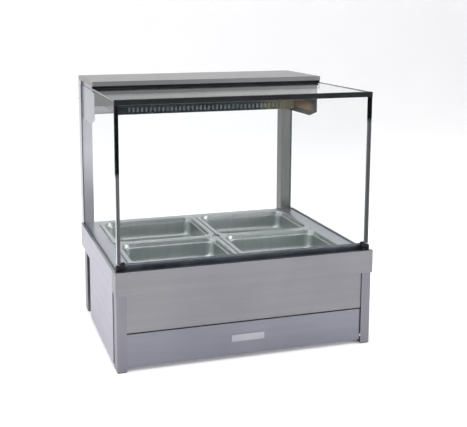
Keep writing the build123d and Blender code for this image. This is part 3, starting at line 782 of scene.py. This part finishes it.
def dial_marks():
    """Printed tick marks round the thermostat dial, longer at the quarter turns."""
    low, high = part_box("thermostat_dial")
    centre = Vector(((low.x + high.x) / 2, high.y - MARK_SINK, (low.z + high.z) / 2))
    verts, faces = [], []
    for i in range(MARK_COUNT):
        angle = math.radians(90 - i * MARK_STEP_DEGREES)
        out = Vector((math.cos(angle), 0, math.sin(angle)))
        short = i % MARK_LONG_EVERY
        side = Vector((-out.z, 0, out.x)) * (0.35 if short else 0.6) * MM
        inner = (22.5 if short else 21.0) * MM
        faces += box_faces(len(verts))
        for depth in (0.0, MARK_THICKNESS):
            face_centre = centre + Vector((0, depth, 0))
            for reach, turn in ((inner, -1), (inner, 1), (MARK_OUTER, 1), (MARK_OUTER, -1)):
                verts.append(face_centre + out * reach + side * turn)
    piece("dial_marks", verts, faces, "case", DIAL_INK, smooth=False)


dial_marks()


# ---------------------------------------------------------------- stage, light and camera


def floor_and_backdrop():
    """Plain pale sweep under and behind the case."""
    mat, tree, shader = new_material("studio_sweep")
    mottle = noise(tree, 3.0, (1, 1, 1), 2.0)
    tree.links.new(
        blend_colours(tree, spread(tree, mottle, 0.0, 1.0), (0.93, 0.93, 0.935), (0.95, 0.95, 0.95)),
        shader.inputs["Base Color"],
    )
    shader.inputs["Roughness"].default_value = 0.9
    shader.inputs["Specular IOR Level"].default_value = 0.1
    shader.inputs["Emission Color"].default_value = (1.0, 1.0, 1.0, 1.0)
    shader.inputs["Emission Strength"].default_value = 0.14
    half, front, back, bend, height, steps = 9.0, -7.0, 5.0, 1.5, 6.0, 12
    profile = [(front, 0.0), (back - bend, 0.0)]
    for i in range(1, steps + 1):
        a = math.radians(90 * i / steps)
        profile.append((back - bend + bend * math.sin(a), bend - bend * math.cos(a)))
    profile.append((back, height))
    verts, faces = [], []
    for y, z in profile:
        verts += [(-half, y, z), (half, y, z)]
    for i in range(len(profile) - 1):
        faces.append((2 * i, 2 * i + 1, 2 * i + 3, 2 * i + 2))
    mesh = bpy.data.meshes.new("studio_sweep")
    mesh.from_pydata(verts, [], faces)
    for face in mesh.polygons:
        face.use_smooth = True
    obj = bpy.data.objects.new("studio_sweep", mesh)
    SCENE.collection.objects.link(obj)
    mesh.materials.append(mat)


LIGHT_TARGET = (0, 0, 0.3)


def soft_light(name, place, size, energy, colour=(1, 1, 1)):
    """Large rectangular lamp aimed at the middle of the case."""
    lamp_data = bpy.data.lights.new(name, "AREA")
    lamp_data.shape = "RECTANGLE"
    lamp_data.size, lamp_data.size_y = size
    lamp_data.energy = energy
    lamp_data.color = colour
    obj = bpy.data.objects.new(name, lamp_data)
    obj.location = place
    aim = Vector(LIGHT_TARGET) - Vector(place)
    obj.rotation_euler = aim.to_track_quat("-Z", "Y").to_euler()
    SCENE.collection.objects.link(obj)
    return obj


def studio_world():
    """Bright room behind and above, greyer in front of the case."""
    world = bpy.data.worlds.new("studio")
    SCENE.world = world
    world.use_nodes = True
    tree = world.node_tree
    tree.nodes.clear()
    out = tree.nodes.new("ShaderNodeOutputWorld")
    back = tree.nodes.new("ShaderNodeBackground")
    coords = tree.nodes.new("ShaderNodeTexCoord")
    split = tree.nodes.new("ShaderNodeSeparateXYZ")
    tree.links.new(coords.outputs["Generated"], split.inputs["Vector"])
    depth = spread(tree, split.outputs["Y"], 0.0, 1.0, -0.85, 0.1)
    across = spread(tree, split.outputs["X"], 0.0, 1.0, 0.15, 0.5)
    front = blend_colours(tree, across, (0.19, 0.19, 0.21), (1.20, 1.18, 1.22))
    tone = blend_colours(tree, depth, front, (1.0, 1.0, 1.0))
    tree.links.new(tone, back.inputs["Color"])
    back.inputs["Strength"].default_value = 1.0
    tree.links.new(back.outputs["Background"], out.inputs["Surface"])


CAMERA_PLACE = (-0.7785, -2.4479, 0.9782)
CAMERA_YAW_PITCH_ROLL = (16.5243, 8.8074, 0.1232)
CAMERA_SENSOR = 36.0
CAMERA_LENS = 64.33
CAMERA_SHIFT = (0.0743, -0.1556)


def photo_camera():
    """Camera in front, to the left and a little above, as in the photograph."""
    yaw, pitch, roll = (math.radians(a) for a in CAMERA_YAW_PITCH_ROLL)
    ahead = Vector(
        (math.sin(yaw) * math.cos(pitch), math.cos(yaw) * math.cos(pitch), -math.sin(pitch))
    )
    right = Vector((math.cos(yaw), -math.sin(yaw), 0.0))
    down = ahead.cross(right)
    x_axis = right * math.cos(roll) + down * math.sin(roll)
    y_axis = right * math.sin(roll) - down * math.cos(roll)
    data = bpy.data.cameras.new("camera")
    data.sensor_width = CAMERA_SENSOR
    data.lens = CAMERA_LENS
    data.shift_x, data.shift_y = CAMERA_SHIFT
    data.clip_end = 60.0
    obj = bpy.data.objects.new("camera", data)
    basis = Matrix((x_axis, y_axis, -ahead)).transposed().to_4x4()
    obj.matrix_world = Matrix.Translation(CAMERA_PLACE) @ basis
    SCENE.collection.objects.link(obj)
    SCENE.camera = obj


floor_and_backdrop()
studio_world()
soft_light("key_top", (-0.6, -0.6, 3.0), (2.6, 2.6), 55.0)
soft_light("left_wash", (-3.2, 1.2, 1.3), (2.4, 2.2), 14.0, (0.97, 0.96, 1.0))
right_front = soft_light("right_front", (2.6, -2.2, 1.2), (1.8, 1.8), 38.0)
right_front.visible_glossy = False
soft_light("left_front", (-2.4, -1.6, 1.5), (0.9, 1.8), 13.0)
photo_camera()
SCENE.view_settings.view_transform = "Standard"
